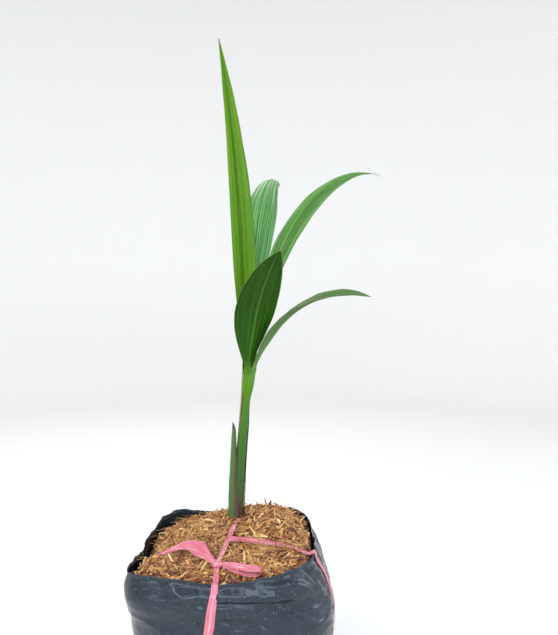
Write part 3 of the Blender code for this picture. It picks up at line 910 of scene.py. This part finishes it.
def sheathRule(sizes):
    foot, tip, middle, footSpread, tipSpread, thick, ragged, offs, radii = sizes

    def pointAt(across, along):
        share = mix(foot, tip, along)
        side = across * 2 - 1
        spread = mix(footSpread, tipSpread, along)
        spread *= 1 + ragged * 4 * noise.noise(Vector((side * 2, along * 14, middle)))
        spread *= mix(0.2, 1.0, smooth((1 - along) * 11) ** 0.5)
        turn = math.radians(middle + spread * side)
        off, radius = (
            through(((0, row[0]), (0.5, row[1]), (1, row[2])), along) for row in (offs, radii)
        )
        radius += 0.0004 * noise.noise(Vector((side * 3, along * 9, middle + 5)))
        edge = ragged * 0.02 * noise.noise(Vector((side * 9, middle, 1))) * along
        centre = stemCentre(clamp(share)) + spoke(math.radians(middle)) * off
        return centre + spoke(turn) * radius + up * (min(share, 0) * 0.22 + edge)

    return pointAt


def sheathPaint(name, inner, margin, tip, marginWidth):
    paint = Paint(name, Metallic=0.0)
    across, along = paint.grain()
    fibre = paint.noise(1.0, 4, vector=paint.joined(across * 26, along * 3.2, 0.5))
    side = (across * 2 - 1).size()
    worn = ((side - (1 - marginWidth) + (fibre - 0.5) * 0.22) / 0.16).held()
    colour = paint.blend(fibre, inner[0], inner[1])
    colour = paint.blend(worn, colour, paint.blend(fibre, margin[0], margin[1]))
    end = ((along - 0.93 + (fibre - 0.5) * 0.05) / 0.04).held()
    paint.set("Base Color", paint.blend(end, colour, tip))
    paint.set("Roughness", 0.5 + fibre * 0.3)
    paint.bump(fibre, 0.0006, 0.8)
    return paint


def makeSheaths():
    basal = sheathPaint("basal_sheath_skin", ((0.032, 0.095, 0.012), (0.065, 0.160, 0.022)),
                        ((0.050, 0.022, 0.018), (0.110, 0.050, 0.038)), (0.014, 0.009, 0.007),
                        0.40)
    dry = sheathPaint("dry_sheath_skin", ((0.050, 0.024, 0.012), (0.420, 0.300, 0.150)),
                      ((0.040, 0.018, 0.010), (0.180, 0.095, 0.055)), (0.09, 0.04, 0.02), 0.40)
    for name, sizes, paint, nodes in (
        ("old_basal_sheath", sheaths["basal"], basal, ("basal_sheath",)),
        ("old_dry_sheath", sheaths["dry"], dry, ("dry_sheath",)),
        ("old_sheath_scrap", sheaths["remnant"], dry, ()),
    ):
        bm = sheet(*sheathGrid, sheathRule(sizes))
        keep(bm, name, paint, nodes, sizes[5])


makeSheaths()
print("stem")


# leaves

# base to bend and width are as in the part. Sheath is the share of the stem that the base wraps,
# over how far it stands out, droop how far the fold opens towards the tip, and keel, striped and
# shine are how strongly the middle rib, the stripes and the gloss show.
leaves = {
    "spear_leaf": {
        "base": (0.0195, 0.0345, 0.5405), "heading": 180.0, "drift": 0.0, "climb": (89.7, 80.9),
        "bend": 1.2, "length": 0.515, "width": 0.044, "widest": 0.35, "late": 1.3,
        "roll": (-70.5, -57.0), "fold": (45.0, 24.0), "nodes": ("spear_leaf",),
        "slot": "young_leaf", "sheath": 0.30, "over": 0.0002, "pleats": 5, "depth": 0.00050,
        "deep": (0.052, 0.150, 0.003), "mid": (0.100, 0.235, 0.004), "pale": (0.190, 0.340, 0.012),
        "rib": (0.170, 0.320, 0.012), "rim": (0.150, 0.260, 0.020), "gloss": 0.42,
        "shine": 0.18, "keel": 0.2, "striped": 0.35, "droop": 0, "lift": 0.0,
    },
    "back_leaf": {
        "base": (0.0245, 0.0403, 0.5410), "heading": 81.6, "drift": 0.0, "climb": (76.0, -10.2),
        "bend": 1.95, "length": 0.522, "width": 0.058, "widest": 0.43, "late": 2.3,
        "roll": (6.5, 20.5), "fold": (58.0, 10.0), "nodes": ("back_leaf_lower", "back_leaf_tip"),
        "slot": "leaf", "sheath": 0.34, "over": 0.0007, "pleats": 6, "depth": 0.00075,
        "deep": (0.028, 0.140, 0.018), "mid": (0.075, 0.270, 0.048), "pale": (0.320, 0.620, 0.270),
        "rib": (0.330, 0.520, 0.200), "rim": (0.420, 0.520, 0.200), "gloss": 0.33,
        "shine": 0.5, "keel": 0.5, "striped": 0.8, "droop": 36, "lift": 0.0105,
    },
    "upper_right_leaf": {
        "base": (0.0310, 0.0370, 0.5410), "heading": 39.2, "drift": 0.0, "climb": (74.4, 4.3),
        "bend": 1.95, "length": 0.483, "width": 0.048, "widest": 0.46, "late": 2.3,
        "roll": (4.0, 26.0), "fold": (56.0, 15.0),
        "nodes": ("upper_right_leaf_lower", "upper_right_leaf_tip"),
        "slot": "leaf", "sheath": 0.30, "over": 0.0010, "pleats": 5, "depth": 0.00070,
        "deep": (0.032, 0.125, 0.012), "mid": (0.085, 0.250, 0.032), "pale": (0.270, 0.500, 0.150),
        "rib": (0.310, 0.470, 0.150), "rim": (0.190, 0.270, 0.080), "gloss": 0.32,
        "shine": 0.45, "keel": 0.8, "striped": 0.7, "droop": 8, "lift": 0.0,
    },
    "front_leaf": {
        "base": (0.0240, 0.0272, 0.5410), "heading": -68.3, "drift": -2.0, "climb": (69.1, 23.0),
        "bend": 1.4, "length": 0.2345, "width": 0.064, "widest": 0.435, "late": 1.2,
        "roll": (3.2, -8.3), "fold": (30.0, 10.0), "nodes": ("front_leaf",),
        "slot": "leaf", "sheath": 0.26, "over": 0.0013, "pleats": 7, "depth": 0.00060,
        # the front leaf's greens are kept very dark as painted shade: its underside lies in shade,
        # and its own colour is paler
        "deep": (0.008, 0.046, 0.001), "mid": (0.020, 0.088, 0.001), "pale": (0.055, 0.150, 0.004),
        "rib": (0.170, 0.300, 0.012), "rim": (0.230, 0.340, 0.040), "gloss": 0.42,
        "shine": 0.14, "keel": 0.8, "striped": 0.35, "droop": 0, "lift": 0.0,
    },
    "lower_right_leaf": {
        "base": (0.0308, 0.0298, 0.5410), "heading": -9.1, "drift": -6.0, "climb": (63.7, -16.1),
        "bend": 1.55, "length": 0.2355, "width": 0.052, "widest": 0.46, "late": 1.3,
        "roll": (-8.7, 25.5), "fold": (30.0, 10.0),
        "nodes": ("lower_right_leaf_lower", "lower_right_leaf_tip"),
        "slot": "leaf", "sheath": 0.24, "over": 0.0014, "pleats": 6, "depth": 0.00065,
        "deep": (0.030, 0.075, 0.010), "mid": (0.075, 0.175, 0.032), "pale": (0.190, 0.360, 0.130),
        "rib": (0.210, 0.320, 0.090), "rim": (0.120, 0.130, 0.040), "gloss": 0.36,
        "shine": 0.35, "keel": 1.0, "striped": 0.5, "droop": 0, "lift": 0.0,
    },
}
blade = {
    "steps": 96, "rows": 150, "columns": 64, "sheathRows": 0.20, "petiole": 0.0052,
    "tip": 0.0008, "thick": 0.0005, "rib": 0.0011, "ribWidth": 0.0016, "joint": 0.085,
    "footTones": ((0.048, 0.150, 0.005), (0.085, 0.215, 0.008)), "dryTone": (0.25, 0.16, 0.06),
}


def bladeShare(along, widest, late, petiole):
    if along < widest:
        return petiole + (1 - petiole) * math.sin(along / widest * math.pi / 2) ** late
    past = (along - widest) / (1 - widest)
    return max(math.cos(past * math.pi / 2), 0.0) ** 0.9


def bladeStations(leaf):
    middle, last, stations = Vector(leaf["base"]), None, []
    for i in range(blade["steps"] + 1):
        along = i / blade["steps"]
        climb = math.radians(mix(*leaf["climb"], along ** leaf["bend"]))
        heading = math.radians(leaf["heading"] + leaf["drift"] * along)
        level = Vector((-math.sin(heading), math.cos(heading), 0))
        tangent = spoke(heading) * math.cos(climb) + up * math.sin(climb)
        if last is not None:
            middle = middle + (last + tangent) / 2 * leaf["length"] / blade["steps"]
        last = tangent
        over = tangent.cross(level)
        roll = math.radians(mix(*leaf["roll"], along))
        across = level * math.cos(roll) + over * math.sin(roll)
        normal = over * math.cos(roll) - level * math.sin(roll)
        share = bladeShare(along, leaf["widest"], leaf["late"], blade["petiole"] / leaf["width"])
        half = max(leaf["width"] / 2 * share, blade["tip"])
        droop = leaf["droop"] * smooth(along * 3.2 - 1.2)
        fold = math.radians(mix(*leaf["fold"], along ** 0.6) - droop)
        raised = normal * leaf["lift"] * smooth(along * 2.4 - 0.4)
        stations.append((middle + raised, tangent, across, normal, half, fold))
    return stations


def bladeRule(name, leaf):
    stations = bladeStations(leaf)
    seed = len(name) * 3.7
    outward = stations[0][3] * -1
    facing = math.atan2(outward.y, outward.x)

    def shellPoint(share, side):
        # the leaf's base, wrapped round the stem
        risen = smooth((share - 1 + leaf["sheath"]) / leaf["sheath"])
        spread = math.radians(mix(104, 62, risen))
        proud = mix(-0.0010, 0.0006 + leaf["over"], smooth(risen * 1.6 - 0.5 * abs(side)))
        radius = through(stem["radii"], clamp(share)) + proud
        return stemCentre(clamp(share)) + spoke(facing + side * spread) * radius

    def bladePoint(along, side):
        place = along * blade["steps"]
        index = min(int(place), blade["steps"] - 1)
        a, b = stations[index], stations[index + 1]
        middle, tangent, across, normal, half, fold = (
            mix(first, second, place - index) for first, second in zip(a, b)
        )
        reach = abs(side)
        arch = 0.10 * half * (1 - (2 * reach - 1) ** 2)
        wave = abs((side * leaf["pleats"] + 0.5) % 2 - 1) * 2 - 1
        shown = smooth(along * 7 - 0.5) * smooth((1 - along) * 7) * smooth((1 - reach) * 6)
        pleat = leaf["depth"] * wave * shown
        edge = 0.0016 * reach ** 4 * noise.noise(Vector((along * 13 + seed, side, 0.5)))
        edge += 0.0022 * noise.noise(Vector((along * 4.5 + seed, side * 0.8, 4.5))) * shown
        keel = -blade["rib"] * leaf["keel"] * hump(side * half, blade["ribWidth"])
        keel *= mix(1.0, 0.3, along)
        spot = middle + across * side * half * math.cos(fold)
        return spot + normal * (reach * half * math.sin(fold) + arch + pleat + edge + keel)

    def pointAt(across, row):
        side = across * 2 - 1
        if row < blade["sheathRows"]:
            return shellPoint(1 - leaf["sheath"] * (1 - row / blade["sheathRows"]), side)
        along = (row - blade["sheathRows"]) / (1 - blade["sheathRows"])
        free = bladePoint(along, side)
        if along > blade["joint"]:
            return free
        carried = shellPoint(1.0, side) + bladePoint(along, 0) - bladePoint(0, 0)
        return mix(carried, free, smooth(along / blade["joint"]))

    return pointAt


def leafPaint(name, leaf):
    paint = Paint(name, Metallic=0.0, Specular_IOR_Level=leaf["shine"])
    across, along = paint.grain()
    seed = len(name) * 1.3
    broad = paint.noise(1.0, 3, vector=paint.joined(across * 5, along * 3, seed))
    stripe = paint.noise(1.0, 3, vector=paint.joined(across * 34, along * 1.6, seed + 3))
    thin = paint.noise(1.0, 2, vector=paint.joined(across * 120, along * 2.0, seed + 6))
    fleck = paint.noise(300, 4)
    side = (across * 2 - 1).size()
    colour = paint.blend(((broad - 0.3) * 2.2).held(), leaf["deep"], leaf["mid"])
    colour = paint.blend(((stripe - 0.52) * 7).held() * leaf["striped"], colour, leaf["pale"])
    colour = paint.blend(((0.46 - thin) * 6).held() * 0.32, colour, leaf["deep"])
    rib = (1 - side / 0.06).held() * (0.25 + ((broad - 0.35) * 2).held() * 0.5)
    colour = paint.blend(rib, colour, leaf["rib"])
    rim = ((side - 0.965) / 0.03).held() * (0.15 + ((along - 0.55) * 2).held() * 0.7)
    colour = paint.blend(rim, colour, leaf["rim"])
    foot = (1 - (along - 0.18) / 0.10).held()
    colour = paint.blend(foot, colour, paint.blend(stripe, *blade["footTones"]))
    dry = ((along - 0.985) / 0.012).held()
    colour = paint.blend(dry, colour, blade["dryTone"])
    paint.set("Base Color", colour)
    paint.set("Roughness", leaf["gloss"] + stripe * 0.12 + fleck * 0.06 + foot * 0.15)
    paint.bump(stripe + thin * 0.5 + fleck * 0.12, 0.0007, 0.55)
    return paint


def makeLeaves():
    for name, leaf in leaves.items():
        bm = sheet(blade["rows"], blade["columns"], bladeRule(name, leaf))
        paint = leafPaint(name + "_skin", leaf)
        keep(bm, name + "_blade", paint, leaf["nodes"], blade["thick"])


makeLeaves()


thread = {"length": 0.021, "inside": 0.002, "sag": 0.0035, "radii": (0.0007, 0.00025)}


def makeThread():
    # the dry thread at the tip of the long leaf on the right
    paint = Paint("thread", Metallic=0.0, Roughness=0.7)
    shade = paint.noise(500, 3)
    paint.set("Base Color", paint.blend(shade, (0.20, 0.13, 0.06), (0.34, 0.26, 0.12)))
    stations = bladeStations(leaves["upper_right_leaf"])
    start, along = stations[-1][0], stations[-1][1]

    def pointAt(across, row):
        turn = math.tau * across
        spot = start + along * (row * thread["length"] - thread["inside"])
        spot -= up * thread["sag"] * row * row
        side = along.cross(up).normalized()
        radius = mix(*thread["radii"], row)
        return spot + side * radius * math.cos(turn) + up * radius * math.sin(turn)

    bm = sheet(16, 6, pointAt, closed=True)
    bmesh.ops.holes_fill(bm, edges=bm.edges, sides=8)
    keep(bm, "leaf_thread", paint)


makeThread()
print("leaves")


# ribbon

ribbon = {
    "side": 0.011, "thick": 0.00022, "columns": 12, "step": 0.0022, "lift": 0.0018,
    "wallLift": 0.0012, "crease": 0.00060, "wallSteps": 44, "turnSteps": 6,
}


def spreadBetween(start, end, count):
    return [start.lerp(end, i / count) for i in range(count + 1)]


def onHusk(spot, lift=0.0):
    high = settledHeight(spot.x, spot.y)
    return Vector((spot.x, spot.y, high + ribbon["lift"] + lift)), bedNormal(spot.x, spot.y)


def wallStations(directions):
    # over the rim, down the film and round its foot
    rimAt = directions[0]
    rim = rimEdge(rimAt)
    outward = filmNormal(rimAt, rim - 0.01)
    over = filmSurface(rimAt, rim) + up * 0.0016
    stations = [(over - outward * 0.005 - up * 0.0004, (up * 2 - outward).normalized()),
                (over, up), (over + outward * 0.0020 - up * 0.0010, (up + outward).normalized())]
    for i in range(1, ribbon["wallSteps"] + 1):
        share = i / ribbon["wallSteps"]
        height = mix(rim - 0.003, bag["round"], share)
        direction = wallTurn(directions, share)
        normal = filmNormal(direction, height)
        surface = filmSurface(direction, height)
        stations.append((surface + normal * ribbon["wallLift"], normal))
    low = bag["round"]
    flat = filmNormal(directions[1], low)
    flat = Vector((flat.x, flat.y, 0)).normalized()
    corner = filmPoint(directions[1], low) - flat * low
    for i in range(1, ribbon["turnSteps"] + 1):
        turn = math.pi / 2 * i / ribbon["turnSteps"]
        normal = flat * math.cos(turn) - up * math.sin(turn)
        off = mix(ribbon["wallLift"], -0.0010, i / ribbon["turnSteps"])
        stations.append((corner + normal * (low + off), normal))
    return stations


def strip(name, stations, widths, nodes, crumple=1.0):
    # a thin ribbon through (point, outward normal) stations, creased along its length
    spots = [spot for spot, _ in stations]
    lengths = [0.0]
    for before, after in zip(spots, spots[1:]):
        lengths.append(lengths[-1] + (after - before).length)
    total = lengths[-1]
    rows = max(int(total / ribbon["step"]), 12)
    seed = len(name) * 2.3 + len(stations)

    def stationAt(distance):
        distance = clamp(distance, 0.0, total)
        index = 0
        while index < len(lengths) - 2 and lengths[index + 1] < distance:
            index += 1
        share = (distance - lengths[index]) / max(lengths[index + 1] - lengths[index], 1e-9)
        spot = spots[index].lerp(spots[index + 1], clamp(share))
        return spot, mix(stations[index][1], stations[index + 1][1], clamp(share))

    frames = []
    for row in range(rows + 1):
        distance = total * row / rows
        spot, normal = stationAt(distance)
        tangent = (stationAt(distance + 0.003)[0] - stationAt(distance - 0.003)[0]).normalized()
        normal = (normal - tangent * normal.dot(tangent)).normalized()
        frames.append((spot, tangent.cross(normal).normalized(), normal))

    def pointAt(across, along):
        spot, side, normal = frames[round(along * rows)]
        distance = along * total
        width = through(widths, along)
        place = across * 2 - 1
        crease = noise.noise(Vector((place * 3.2 + distance * 9, distance * 26, seed)))
        fine = abs(noise.noise(Vector((place * 7, distance * 60, seed + 9))))
        off = ribbon["crease"] * crumple * (1.3 * crease + 0.9 * fine)
        off += 0.0007 * crumple * place * place * noise.noise(Vector((distance * 40, seed, place)))
        narrow = 1 + 0.10 * crumple * noise.noise(Vector((distance * 34, seed, 2)))
        return spot + side * place * width / 2 * narrow + normal * off

    bm = sheet(rows, ribbon["columns"], pointAt)
    return keep(bm, name, pink, nodes, ribbon["thick"])


def ribbonPaint():
    paint = Paint("ribbon", Metallic=0.0, Coat_Weight=0.5, Coat_Roughness=0.12)
    across, along = paint.grain()
    fold = paint.noise(1.0, 4, vector=paint.joined(across * 9, along * 5, 1.5))
    cloud = paint.noise(60, 4)
    colour = paint.blend(cloud, (0.470, 0.085, 0.130), (0.680, 0.175, 0.240))
    # the fold noise also paints pale pink streaks along the creases: these are painted highlights
    colour = paint.blend(((fold - 0.54) * 6).held() * 0.8, colour, (0.930, 0.500, 0.570))
    paint.set("Base Color", colour)
    paint.set("Roughness", 0.26 + cloud * 0.14)
    paint.bump(fold + cloud * 0.4, 0.0007, 0.6)
    return paint


pink = ribbonPaint()


def huskStations(start, end, count, lifts=(0.0, 0.0)):
    spots = spreadBetween(start, end, count)
    return [onHusk(spot, mix(*lifts, i / count)) for i, spot in enumerate(spots)]


def makeRibbon():
    knot, crossing = ribbonPath["knot"], ribbonPath["crossing"]
    front, back, side = (wallStations(walls) for walls in ribbonWalls)
    loop = huskStations(knot, front[0][0], 6, (0.0035, 0.001))[:-1] + front
    loop += spreadPairs(front[-1], back[-1], 26) + back[::-1]
    loop += huskStations(back[0][0], ribbonPath["behindStem"], 18)[1:]
    strip("ribbon_round_bag", loop, ((0, 0.006), (0.03, 0.008), (0.09, 0.012), (1, 0.013)),
          ("ribbon_loop",))
    stop = (Vector((front[-1][0].x + 0.002, side[-1][0].y, front[-1][0].z)), -up)
    right = huskStations(crossing, ribbonPath["dip"], 12, (0.0022, -0.0010))
    right += huskStations(ribbonPath["dip"], side[0][0], 8, (-0.0010, 0.0015))[1:-1]
    right += side + spreadPairs(side[-1], stop, 14)
    strip("ribbon_over_side", right, ((0, ribbon["side"]), (1, ribbon["side"])), ("ribbon_side",))
    top = huskStations(knot, crossing, 12, (0.0035, 0.0015))
    top += huskStations(crossing, ribbonPath["beforeStem"], 12, (0.0015, 0.001))[1:]
    strip("ribbon_over_top", top, ((0, 0.005), (0.2, 0.007), (1, 0.0075)),
          ("ribbon_top",))
    makeTail()
    makeBow(knot)
    makeKnot(knot)


def spreadPairs(start, end, count):
    shares = [i / count for i in range(1, count)]
    return [(start[0].lerp(end[0], share), -up) for share in shares]


tailLook = {  # lift over the husk and tilt towards the front, at the knot and at each tail point
    "lifts": (0.0035, 0.0060, 0.0100, 0.0125, 0.0120, 0.0070, 0.0030, 0.0015),
    "tilts": (0.1, 0.5, 0.9, 1.1, 1.0, 0.7, 0.5, 0.3),
    "widths": ((0, 0.005), (0.16, 0.010), (0.36, 0.021), (0.55, 0.013), (0.72, 0.008), (1, 0.006)),
}


def makeTail():
    spots = [ribbonPath["knot"]] + [Vector((x, y, 0)) for x, y in ribbonPath["tail"]]
    stations = []
    for i, spot in enumerate(spots):
        place, normal = onHusk(spot, tailLook["lifts"][i])
        tilt = Vector((0.15, -1, 0)) * tailLook["tilts"][i]
        stations.append((place, (normal + tilt).normalized()))
    strip("ribbon_loose_end", smoothed(stations), tailLook["widths"], ("ribbon_tail",), 1.8)


def smoothed(stations):
    # stations through a soft curve
    spots = [stations[0]] + stations + [stations[-1]]
    made = []
    for a, b, c, d in zip(spots, spots[1:], spots[2:], spots[3:]):
        for step in range(6):
            t = step / 6
            parts = []
            for p, q, r, s in zip(a, b, c, d):
                parts.append(0.5 * (2 * q + (r - p) * t + (2 * p - 5 * q + 4 * r - s) * t * t
                                    + (3 * q - p - 3 * r + s) * t ** 3))
            made.append((parts[0], parts[1].normalized()))
    return made + [stations[-1]]


bowLook = {  # how far along and how high, on the way out and on the way back
    "reach": 0.052, "end": 0.056, "heading": (0.97, -0.22, 0),
    "out": ((0.0, 0.0025), (0.25, 0.0020), (0.60, 0.0005), (0.95, 0.0)),
    "back": ((0.85, 0.0068), (0.50, 0.0062), (0.22, 0.0050), (0.02, 0.0040)),
    "widths": ((0, 0.005), (0.2, 0.010), (0.5, 0.0135), (0.8, 0.010), (1, 0.005)),
}


def makeBow(knot):
    # a flattened loop lying over the husk to the right, with its end turned over
    away = Vector(bowLook["heading"]).normalized()
    stations = []
    for share, lift in bowLook["out"]:
        spot, normal = onHusk(knot + away * bowLook["reach"] * share, lift)
        stations.append((spot, -normal))
    end, _ = onHusk(knot + away * bowLook["end"])
    for turn in (-0.9, 0.0, 0.9):
        outward = away * math.cos(turn) + up * math.sin(turn)
        stations.append((end + away * 0.0048 * math.cos(turn)
                         + up * 0.0034 * (1 + math.sin(turn)), outward))
    for share, lift in bowLook["back"]:
        stations.append(onHusk(knot + away * bowLook["reach"] * share, lift))
    strip("ribbon_bow_loop", smoothed(stations), bowLook["widths"], ("ribbon_bow",), 1.5)


knotLook = {"half": (0.0078, 0.0062, 0.0046), "folds": 0.38, "waist": 0.22, "lift": 0.0040}


def makeKnot(knot):
    # the tie, a tight band with folds running over it
    bm = bmesh.new()
    bmesh.ops.create_icosphere(bm, subdivisions=5, radius=1.0)
    layer = bm.loops.layers.uv.new("grain")
    centre = onHusk(knot, knotLook["lift"])[0]
    wide, deep, tall = knotLook["half"]
    for face in bm.faces:
        for loop in face.loops:
            loop[layer].uv = (loop.vert.co.x * 0.5 + 0.5, loop.vert.co.z * 0.5 + 0.5)
    for vert in bm.verts:
        spot = vert.co
        folds = abs(noise.noise(Vector((spot.x * 3.4, spot.y * 0.8, spot.z * 1.2 + 5))))
        waist = 1 - knotLook["waist"] * hump(spot.x, 0.35)
        size = (1 + knotLook["folds"] * folds) * waist
        vert.co = centre + Vector((spot.x * wide, spot.y * deep * size, spot.z * tall * size))
    keep(bm, "ribbon_tie", pink, ("ribbon_knot",))


makeRibbon()
print("ribbon")


# water

drops = {
    "seed": 31, "onFilm": 150, "directions": (236, 338), "filmSizes": (0.0003, 0.0008),
    "underRim": 0.003, "reach": 0.05, "onLeaf": 46, "leafSizes": (0.0004, 0.0010), "proud": 0.0003,
}


def makeDrops():
    paint = Paint("water", Metallic=0.0, IOR=1.33, Roughness=0.04, Transmission_Weight=0.85)
    shade = paint.noise(80, 2)
    paint.set("Base Color", paint.blend(shade, (0.90, 0.94, 0.96), (0.98, 0.99, 1.0)))
    dice = random.Random(drops["seed"])
    bm = bmesh.new()
    bmesh.ops.create_uvsphere(bm, u_segments=8, v_segments=6, radius=1.0)
    corners, sides = template(bm)
    shapes = []

    def drop(spot, normal, size):
        turn = up.rotation_difference(normal).to_matrix()
        flat = Vector((size, size * dice.uniform(0.8, 1.2), size * 0.45))
        shapes.append(([spot + turn @ (corner * flat) for corner in corners], sides, 0.5))

    for _ in range(drops["onFilm"]):
        direction = dice.uniform(*drops["directions"])
        height = rimEdge(direction) - drops["underRim"] - drops["reach"] * dice.random() ** 1.4
        drop(filmSurface(direction, height), filmNormal(direction, height),
             dice.uniform(*drops["filmSizes"]))
    pointAt = bladeRule("spear_leaf", leaves["spear_leaf"])
    for _ in range(drops["onLeaf"]):
        across, row = dice.uniform(0.15, 0.85), dice.uniform(0.35, 0.93)
        spot = pointAt(across, row)
        normal = (pointAt(across + 0.02, row) - spot).cross(pointAt(across, row + 0.01) - spot)
        proud = normal.normalized() * dice.choice((-1, 1)) * drops["proud"]
        drop(spot + proud, normal.normalized(), dice.uniform(*drops["leafSizes"]))
    bm, _ = gather(shapes)
    keep(bm, "water_drops", paint)


makeDrops()
